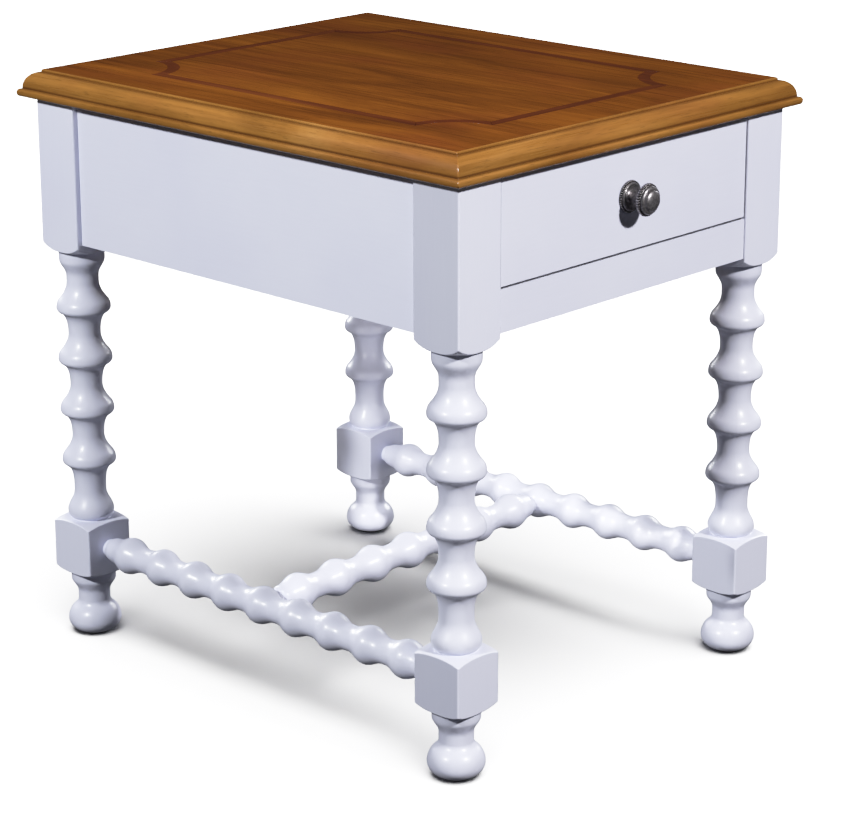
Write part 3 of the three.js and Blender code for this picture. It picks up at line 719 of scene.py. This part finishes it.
def band_ring(inset, radius, half_x, half_y, z):
    """The band's outline at an inset, with hollow corners about the band's own corners."""
    trim = math.asin(inset / radius)
    ring = []
    for sx, sy in ((1, 1), (-1, 1), (-1, -1), (1, -1)):
        arc = []
        for i in range(33):
            a = trim + (math.pi / 2 - 2 * trim) * i / 32
            arc.append((sx * (half_x - radius * math.sin(a)), sy * (half_y - radius * math.cos(a)), z))
        ring += arc if sx * sy > 0 else arc[::-1]
    return ring


def fill_between(bm, outer, inner=None):
    """Flat faces inside one closed loop of vertices, less another."""
    edges = []
    for loop in (outer, inner):
        if loop:
            for a, b in zip(loop, loop[1:] + loop[:1]):
                edges.append(bm.edges.get((a, b)) or bm.edges.new((a, b)))
    made = bmesh.ops.triangle_fill(bm, use_beauty=True, use_dissolve=False, edges=edges)
    return [g for g in made["geom"] if isinstance(g, bmesh.types.BMFace)]


def build_top():
    low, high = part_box("top_board")
    centre = (low + high) / 2
    half_x = (high.x - low.x) / 2 / MM
    half_y = (high.y - low.y) / 2 / MM
    inlay_low, inlay_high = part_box("inlay_left")[0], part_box("inlay_right")[1]
    band_x = (inlay_high.x - inlay_low.x) / 2 / MM
    band_y = (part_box("inlay_back")[1].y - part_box("inlay_front")[0].y) / 2 / MM
    bm = bmesh.new()

    def place(ring):
        return [bm.verts.new((centre.x + x * MM, centre.y + y * MM, low.z + z * MM)) for x, y, z in ring]

    rings = [place(rectangle_ring(half_x - inset, half_y - inset, MITRE_R, z))
             for inset, z in moulding_profile()]
    for lower, upper in zip(rings, rings[1:]):
        for i in range(len(lower)):
            after = (i + 1) % len(lower)
            face = bm.faces.new((lower[i], lower[after], upper[after], upper[i]))
            middle = face.calc_center_median()
            beyond_x = abs(middle.x - centre.x) / MM - half_x
            beyond_y = abs(middle.y - centre.y) / MM - half_y
            face.material_index = 2 if beyond_x > beyond_y else 1
    for face in fill_between(bm, rings[0]):
        face.material_index = 0
    outer_r, inner_r = INLAY_CORNER_R, INLAY_CORNER_R + INLAY_WIDTH
    floor_z = TOP_THICK - INLAY_THICK - INLAY_FIT
    outer = [place(band_ring(-INLAY_FIT, outer_r - INLAY_FIT, band_x, band_y, z))
             for z in (TOP_THICK, floor_z)]
    inset = INLAY_WIDTH + INLAY_FIT
    inner = [place(band_ring(inset, inner_r + INLAY_FIT, band_x, band_y, z)) for z in (TOP_THICK, floor_z)]
    fill_between(bm, rings[-1], outer[0])
    fill_between(bm, outer[1], inner[1])
    fill_between(bm, inner[0])
    for upper, lower in (outer, inner):
        for i in range(len(upper)):
            after = (i + 1) % len(upper)
            bm.faces.new((upper[i], upper[after], lower[after], lower[i]))
    bm.verts.index_update()
    vertices = [v.co[:] for v in bm.verts]
    faces = [[v.index for v in f.verts] for f in bm.faces]
    chosen = [f.material_index for f in bm.faces]
    bm.free()
    materials = [TOP_FIELD, MOULDING_X, MOULDING_Y]
    board = add_piece("top_board_moulded", vertices, faces, materials, "table", ["top_board"],
                      32, chosen)
    weigh_normals(board)
    build_inlay(centre, band_x, band_y, high.z)


def slab(outline, top_z, thick, ease):
    """A flat strip from a plan outline in metres, its upper edge eased inwards towards its middle."""
    bm = bmesh.new()
    loop = [bm.verts.new((x, y, top_z - thick)) for x, y in outline]
    base = bm.faces.new(loop)
    raised = bmesh.ops.extrude_face_region(bm, geom=[base])
    for v in raised["geom"]:
        if isinstance(v, bmesh.types.BMVert):
            v.co.z = top_z
    rim = [e for e in bm.edges if all(abs(v.co.z - top_z) < 1e-7 for v in e.verts)]
    bmesh.ops.bevel(bm, geom=rim, offset=ease, segments=2, affect="EDGES", profile=0.5, clamp_overlap=True)
    bm.verts.index_update()
    vertices = [v.co[:] for v in bm.verts]
    faces = [[v.index for v in f.verts] for f in bm.faces]
    bm.free()
    return vertices, faces


def build_inlay(centre, band_x, band_y, top_z):
    outer_r, inner_r = INLAY_CORNER_R, INLAY_CORNER_R + INLAY_WIDTH
    inner_reach = math.sqrt(inner_r ** 2 - INLAY_WIDTH ** 2)

    def add(node, outline, material):
        plan = [(centre.x + x * MM, centre.y + y * MM) for x, y in outline]
        vertices, faces = slab(plan, top_z, INLAY_THICK * MM, INLAY_EASE * MM)
        inlaid = add_piece(f"{node}_strip", vertices, faces, [material], "table", [node], 30)
        weigh_normals(inlaid)

    def strip(half):
        return [(-half + outer_r, 0), (half - outer_r, 0),
                (half - inner_reach, -INLAY_WIDTH), (-half + inner_reach, -INLAY_WIDTH)]

    for side, sx in SIDES:
        add(f"inlay_{side}", [(sx * (band_x + across), along) for along, across in strip(band_y)], INLAY_Y)
    for end_name, sy in ENDS:
        outline = [(along, sy * (band_y + across)) for along, across in strip(band_x)]
        add(f"inlay_{end_name}", outline, INLAY_X)
    trim = INLAY_END_TRIM / outer_r
    inner_trim = math.asin(INLAY_WIDTH / inner_r) + trim
    arcs = ((outer_r, trim, math.pi / 2 - trim), (inner_r, math.pi / 2 - inner_trim, inner_trim))
    for name, sx, sy in CORNERS:
        outline = []
        for radius, begin, end in arcs:
            for i in range(33):
                a = begin + (end - begin) * i / 32
                outline.append((sx * (band_x - radius * math.sin(a)), sy * (band_y - radius * math.cos(a))))
        add(f"inlay_corner_{name}", outline, INLAY_Y)


# ---------- knob ----------
def beaded(rows, depth, count):
    """A ripple of round beads on some rows of a lathe."""
    def ripple(row, angle):
        if row not in rows:
            return 0.0
        return depth * (abs(math.sin(count * angle / 2)) - BEAD_MEAN) * rows[row]
    return ripple


def knob_profile():
    """(radius, distance from the drawer front): stem, milled rim, shoulder, step and dome."""
    back = KNOB_HEAD_BACK
    stem = curve_points((KNOB_STEM_R, 2.0), (4.5, back - 3), (8.2, back + 2.6), 9)
    under = curve_points((8.2, back + 2.6), (11.5, back + 3.5), (13.8, back + 4.3), 5)[1:]
    rim = [(14.5, 4.5), (15.2, 4.9), (KNOB_R, 5.7), (KNOB_R, 7.1), (15.2, 7.9), (14.5, 8.3)]
    rim = [(radius, back + out) for radius, out in rim]
    groove = [(13.5, back + 8.5), (13.3, back + 8.8)]
    shoulder = curve_points((13.9, back + 9.2), (13.6, back + 11.3), (11.5, back + 12.0), 8)
    ring = [(11.0, back + 12.1), (10.6, back + 11.7), (KNOB_DOME_R, back + 12.1)]
    dome = []
    dome_foot = back + 12.3
    for i in range(1, 15):
        a = math.pi / 2 * i / 15
        dome.append((KNOB_DOME_R * math.cos(a), dome_foot + KNOB_DOME_RISE * math.sin(a)))
    return stem, under, rim, groove, shoulder, ring, dome + [(0.25, dome_foot + KNOB_DOME_RISE)]


def build_knob():
    low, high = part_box("knob")
    face_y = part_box("drawer_front")[0].y
    centre = Vector(((low.x + high.x) / 2, face_y, (low.z + high.z) / 2))
    parts = knob_profile()
    profile = [point for part in parts for point in part]
    first = len(parts[0]) + len(parts[1])
    shares = (0.5, 0.9, 1.0, 1.0, 1.0, 1.0, 0.8)
    rows = {first - 1 + i: share for i, share in enumerate(shares)}
    ripple = beaded(rows, KNOB_BEAD_DEPTH, RIM_BEADS)
    vertices, faces = lathe(profile, centre, (0, -1, 0), RIM_BEADS * 10, ripple)
    add_piece("knob_head", vertices, faces, [PEWTER], "drawer", ["knob"], 60)

    rim = [(14.3, 0.3), (15.0, 0.5), (15.3, 1.0), (15.3, 1.7), (15.1, 2.3), (14.6, 2.7)]
    groove = [(14.1, 2.8), (13.8, 2.9)]
    ring = curve_points((13.7, 3.0), (13.3, 4.6), (12.2, 4.3), 6)
    dish = curve_points((12.0, 4.2), (9.0, 1.9), (6.9, 1.9), 8)
    boss = curve_points((6.7, 2.0), (6.5, 3.2), (5.2, 3.2), 4) + [(2.4, 3.2)]
    profile = [(6.0, 0.3)] + rim + groove + ring + dish + boss
    rows = {1: 0.8, 2: 1.0, 3: 1.0, 4: 1.0, 5: 1.0, 6: 0.8}
    ripple = beaded(rows, ROSETTE_BEAD_DEPTH, ROSETTE_BEADS)
    vertices, faces = lathe(profile, centre, (0, -1, 0), ROSETTE_BEADS * 8, ripple)
    add_piece("knob_rosette_ring", vertices, faces, [PEWTER], "drawer", ["knob_rosette"], 60)


# ---------- screws and bolts ----------
def build_fastener(node, seat, axis, head, body):
    """A domed head with a chamfered rim and a short shank, pointing in along its axis."""
    head_r, head_thick = head
    profile = [(0.6, -head_thick)]
    profile += curve_points((head_r * 0.45, -head_thick), (head_r * 0.95, -head_thick),
                            (head_r, -head_thick * 0.35), 6)
    profile += [(head_r, -0.3), (head_r - 0.3, 0.0), (head_r * 0.5, 0.0), (head_r * 0.5, 6.0)]
    vertices, faces = lathe(profile, seat, axis, 36)
    add_piece(f"{node}_turned", vertices, faces, [STEEL], body, [node], 40)


def build_fasteners():
    for name in NODES:
        low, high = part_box(name)
        middle = (low + high) / 2
        if name.startswith(("runner_screw", "top_screw")):
            seat = Vector((middle.x, middle.y, low.z + SCREW_HEAD[1] * MM))
            build_fastener(name, seat, (0, 0, 1), SCREW_HEAD, "table")
        elif name == "knob_screw":
            seat = Vector((middle.x, high.y - KNOB_SCREW_HEAD[1] * MM, middle.z))
            build_fastener(name, seat, (0, -1, 0), KNOB_SCREW_HEAD, "drawer")
    for name, sx, sy in CORNERS:
        node = f"corner_bolt_{name}"
        low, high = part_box(node)
        axis = Vector((sx, sy, 0)).normalized()
        inner_x = low.x if sx > 0 else high.x
        inner_y = low.y if sy > 0 else high.y
        inner = Vector((inner_x, inner_y, (low.z + high.z) / 2))
        build_fastener(node, inner + axis * (BOLT_SEAT * MM), axis, BOLT_HEAD, "table")


# ---------- CAD nodes that stay ----------
def soften(node, width, material):
    """Rounds a CAD node's sharp edges a little and gives it its finish."""
    thing = NODES[node]
    thing.data.materials.clear()
    thing.data.materials.append(material)
    weld = thing.modifiers.new("weld", "WELD")
    weld.merge_threshold = 1e-5
    bevel = thing.modifiers.new("eased_edges", "BEVEL")
    bevel.width = width * MM
    bevel.segments = 3
    bevel.limit_method = "ANGLE"
    bevel.angle_limit = math.radians(40)
    bevel.harden_normals = True


def finish_boards():
    soften("apron_left", 1.0, PAINT_Y)
    soften("apron_right", 1.0, PAINT_Y)
    soften("apron_back", 1.0, PAINT_X)
    soften("rail_front", 1.0, PAINT_FRONT_GAP_SHADE)
    soften("drawer_front", 0.9, PAINT_FRONT_GAP_SHADE)
    soften("drawer_back", 0.8, RAW_X)
    soften("drawer_bottom", 0.4, RAW_X)
    for side, _ in SIDES:
        soften(f"drawer_side_{side}", 0.8, RAW_Y)
        soften(f"drawer_stop_{side}", 0.8, RAW_X)
        for part in ("runner", "guide", "kicker"):
            soften(f"drawer_{part}_{side}", 0.6, RAW_Y)
    for name, _, _ in CORNERS:
        soften(f"corner_block_{name}", 0.8, RAW_X)


# ---------- camera, lights and floor ----------
CAMERA_PLACE = (-1.9368, -1.8438, 1.1214)
CAMERA_AZIMUTH = -46.812
CAMERA_ELEVATION = 16.035
CAMERA_ROLL = -0.071
CAMERA_LENS = 112.88
CAMERA_SHIFT = -0.10
FRONT_LIGHT = (-0.12, -3.02, 2.35)
FRONT_AIM = (0, -0.2, 0.45)
LEFT_LIGHT = (-2.49, 0.10, 1.84)
LEFT_AIM = (-0.2, 0, 0.40)
TOP_AIM = (0, 0, 0.61)
LOW_TINT = (0.99, 0.98, 1.0)
FRONT_TINT = (0.995, 0.985, 1.0)
LEFT_TINT = (0.955, 0.97, 1.0)
FILM_WHITE = 1.6                      # scene light that shows as pure white
# The pieces behind, which the frame hides from both hard lights.
UNDER_PIECES = ("leg_back_right", "stretcher_right")


def add_camera():
    """The photograph's view: slightly above the top, towards the front-left corner."""
    azimuth, elevation = math.radians(CAMERA_AZIMUTH), math.radians(CAMERA_ELEVATION)
    roll = math.radians(CAMERA_ROLL)
    level = math.cos(elevation)
    back = Vector((math.sin(azimuth) * level, -math.cos(azimuth) * level, math.sin(elevation)))
    right = Vector((math.cos(azimuth), math.sin(azimuth), 0))
    up = back.cross(right)
    turned_right = right * math.cos(roll) + up * math.sin(roll)
    turned_up = up * math.cos(roll) - right * math.sin(roll)
    data = bpy.data.cameras.new("camera")
    data.sensor_width = 36.0
    data.lens = CAMERA_LENS
    data.shift_y = CAMERA_SHIFT
    camera = bpy.data.objects.new("camera", data)
    turn = Matrix((turned_right, turned_up, back)).transposed().to_4x4()
    camera.matrix_world = Matrix.Translation(CAMERA_PLACE) @ turn
    bpy.context.scene.collection.objects.link(camera)
    bpy.context.scene.camera = camera


def add_area(name, place, target, size, power, colour=(1, 1, 1), receivers=None):
    data = bpy.data.lights.new(name, "AREA")
    data.shape = "DISK"
    data.size = size
    data.energy = power
    data.color = colour
    light = bpy.data.objects.new(name, data)
    direction = Vector(target) - Vector(place)
    turn = direction.to_track_quat("-Z", "Y").to_matrix().to_4x4()
    light.matrix_world = Matrix.Translation(place) @ turn
    bpy.context.scene.collection.objects.link(light)
    if receivers is not None:
        light.light_linking.receiver_collection = receivers
    return light


def add_wash(name, towards, spread, strength, receivers):
    """A very wide, distant light from one direction, on its receivers alone."""
    data = bpy.data.lights.new(name, "SUN")
    data.angle = math.radians(spread)
    data.energy = strength
    light = bpy.data.objects.new(name, data)
    light.matrix_world = Vector(towards).to_track_quat("Z", "Y").to_matrix().to_4x4()
    bpy.context.scene.collection.objects.link(light)
    light.light_linking.receiver_collection = receivers


def collection_of(name, members):
    made = bpy.data.collections.new(name)
    for member in members:
        made.objects.link(member)
    return made


def add_floor():
    bpy.ops.mesh.primitive_grid_add(x_subdivisions=8, y_subdivisions=8, size=24)
    floor = bpy.context.object
    floor.name = "floor"
    floor.data.materials.append(floor_finish())
    floor.visible_diffuse = False
    floor.visible_shadow = False
    floor.visible_glossy = False
    return floor


def add_lights(floor):
    """Hard lights square to the front and to the left side, with their own pair for the top and a weaker
    left one for the near leg. Soft fills reach under, behind and to the right. One wide sun lights the
    floor, and a faint one lights the turned pieces from below."""
    things = [o for o in bpy.context.scene.objects if o.type == "MESH" and o is not floor]
    tops = [o for o in things if o.name.startswith(("top_board", "inlay_"))]
    near = [o for o in things if o.name.startswith("leg_front_left")]
    others = [o for o in things if o not in tops]
    below = collection_of("lit_below_the_top", others)
    lid = collection_of("lit_top", tops)
    near_leg = collection_of("lit_near_leg", near)
    away = collection_of("lit_away_from_near_leg", [o for o in others if o not in near])
    ground = collection_of("lit_floor", [floor])
    add_area("front_key", FRONT_LIGHT, FRONT_AIM, 0.22, 125, FRONT_TINT, below)
    add_area("left_key", LEFT_LIGHT, LEFT_AIM, 0.19, 71, LEFT_TINT, away)
    add_area("left_key_near", LEFT_LIGHT, LEFT_AIM, 0.19, 53, LEFT_TINT, near_leg)
    add_area("front_key_top", (-0.07, -1.56, 1.69), TOP_AIM, 0.12, 38, FRONT_TINT, lid)
    add_area("left_key_top", (-1.40, 0.06, 1.57), TOP_AIM, 0.12, 28, LEFT_TINT, lid)
    under = [o for o in bpy.context.scene.objects if o.name.startswith(UNDER_PIECES)]
    behind = collection_of("lit_behind", under)
    add_area("low_left_fill", (-1.9, 0.0, 0.30), (0.2, 0.0, 0.2), 1.1, 19, LOW_TINT, behind)
    add_area("low_front_fill", (0.1, -2.1, 0.30), (0.2, 0.2, 0.2), 1.1, 20, LOW_TINT, behind)
    turned_pieces = [o for o in bpy.context.scene.objects if o.name.startswith(("leg_", "stretcher_"))]
    add_wash("floor_bounce", (0.0, 0.0, -1.0), 150, 0.08, collection_of("lit_turned", turned_pieces))
    add_area("back_fill", (0.5, 2.9, 1.3), (0, 0.2, 0.35), 1.2, 62, LEFT_TINT, below)
    add_area("right_fill", (2.9, 0.3, 1.3), (0.2, 0, 0.35), 1.2, 62, LEFT_TINT, below)
    add_wash("floor_wash", (-0.12, -0.28, 1.0), 64, 8.6, ground)
    world = bpy.data.worlds.new("studio")
    world.use_nodes = True
    tree = world.node_tree
    background = tree.nodes["Background"]
    direction = tree.nodes.new("ShaderNodeTexCoord")
    split = tree.nodes.new("ShaderNodeSeparateXYZ")
    shade = tree.nodes.new("ShaderNodeValToRGB")
    level = tree.nodes.new("ShaderNodeMapRange")
    level.inputs["From Min"].default_value = -1.0
    level.inputs["From Max"].default_value = 1.0
    tree.links.new(direction.outputs["Generated"], split.inputs[0])
    tree.links.new(split.outputs["Z"], level.inputs["Value"])
    tree.links.new(level.outputs["Result"], shade.inputs["Fac"])
    tree.links.new(shade.outputs["Color"], background.inputs["Color"])
    stops = shade.color_ramp.elements
    stops[0].position, stops[0].color = 0.0, (0.05, 0.05, 0.055, 1.0)
    stops[1].position, stops[1].color = 0.49, (0.032, 0.032, 0.036, 1.0)
    high = stops.new(0.56)
    high.color = (0.024, 0.024, 0.027, 1.0)
    zenith = stops.new(1.0)
    zenith.color = (0.06, 0.06, 0.065, 1.0)
    bpy.context.scene.world = world


def add_reflection_card():
    """A tall pale card behind the table, seen only in reflections."""
    width, bottom, top, steps = 3.0, 0.55, 3.2, 12
    azimuth = math.radians(-46.8 + 180)
    outward = Vector((math.sin(azimuth), -math.cos(azimuth), 0))
    across = Vector((math.cos(azimuth), math.sin(azimuth), 0))
    vertices = []
    for row in range(steps + 1):
        z = bottom + (top - bottom) * row / steps
        for side in (-1, 1):
            vertices.append(outward * (2.6 - 0.10 * z) + across * (side * width / 2) + Vector((0, 0, z)))
    faces = [(2 * r, 2 * r + 1, 2 * r + 3, 2 * r + 2) for r in range(steps)]
    mesh = bpy.data.meshes.new("reflection_card")
    mesh.from_pydata([tuple(v) for v in vertices], [], faces)
    g = Graph("card_glow")
    glow = g.node("ShaderNodeEmission")
    g.link(g.remap(g.axis("Z"), bottom, 2.0, 0.0, 0.05), glow.inputs["Strength"])
    output = [n for n in g.tree.nodes if n.type == "OUTPUT_MATERIAL"][0]
    g.link(glow.outputs[0], output.inputs["Surface"])
    mesh.materials.append(g.material)
    card = bpy.data.objects.new("reflection_card", mesh)
    bpy.context.scene.collection.objects.link(card)
    card.visible_camera = False
    card.visible_diffuse = False
    card.visible_shadow = False


def set_film_curve():
    """Plain display colours with a soft shoulder, so that doubly lit paint keeps its shading."""
    view = bpy.context.scene.view_settings
    view.view_transform = "Standard"
    view.use_curve_mapping = True
    mapping = view.curve_mapping
    mapping.white_level = (FILM_WHITE, FILM_WHITE, FILM_WHITE)
    curve = mapping.curves[3]
    curve.points[0].location = (0.0, 0.0)
    curve.points[1].location = (1.0, 1.0)
    for light, shown in ((0.30, 0.30), (0.60, 0.60), (0.90, 0.80), (1.25, 0.93)):
        curve.points.new(light / FILM_WHITE, shown)
    mapping.update()


# ---------- assembly ----------
apron_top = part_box("apron_left")[1].z / MM
for corner, corner_x, corner_y in CORNERS:
    build_leg(corner, apron_top)
    build_glide(corner)
build_stretchers()
build_top()
build_knob()
build_fasteners()
finish_boards()
add_camera()
floor_piece = add_floor()
add_lights(floor_piece)
add_reflection_card()
set_film_curve()
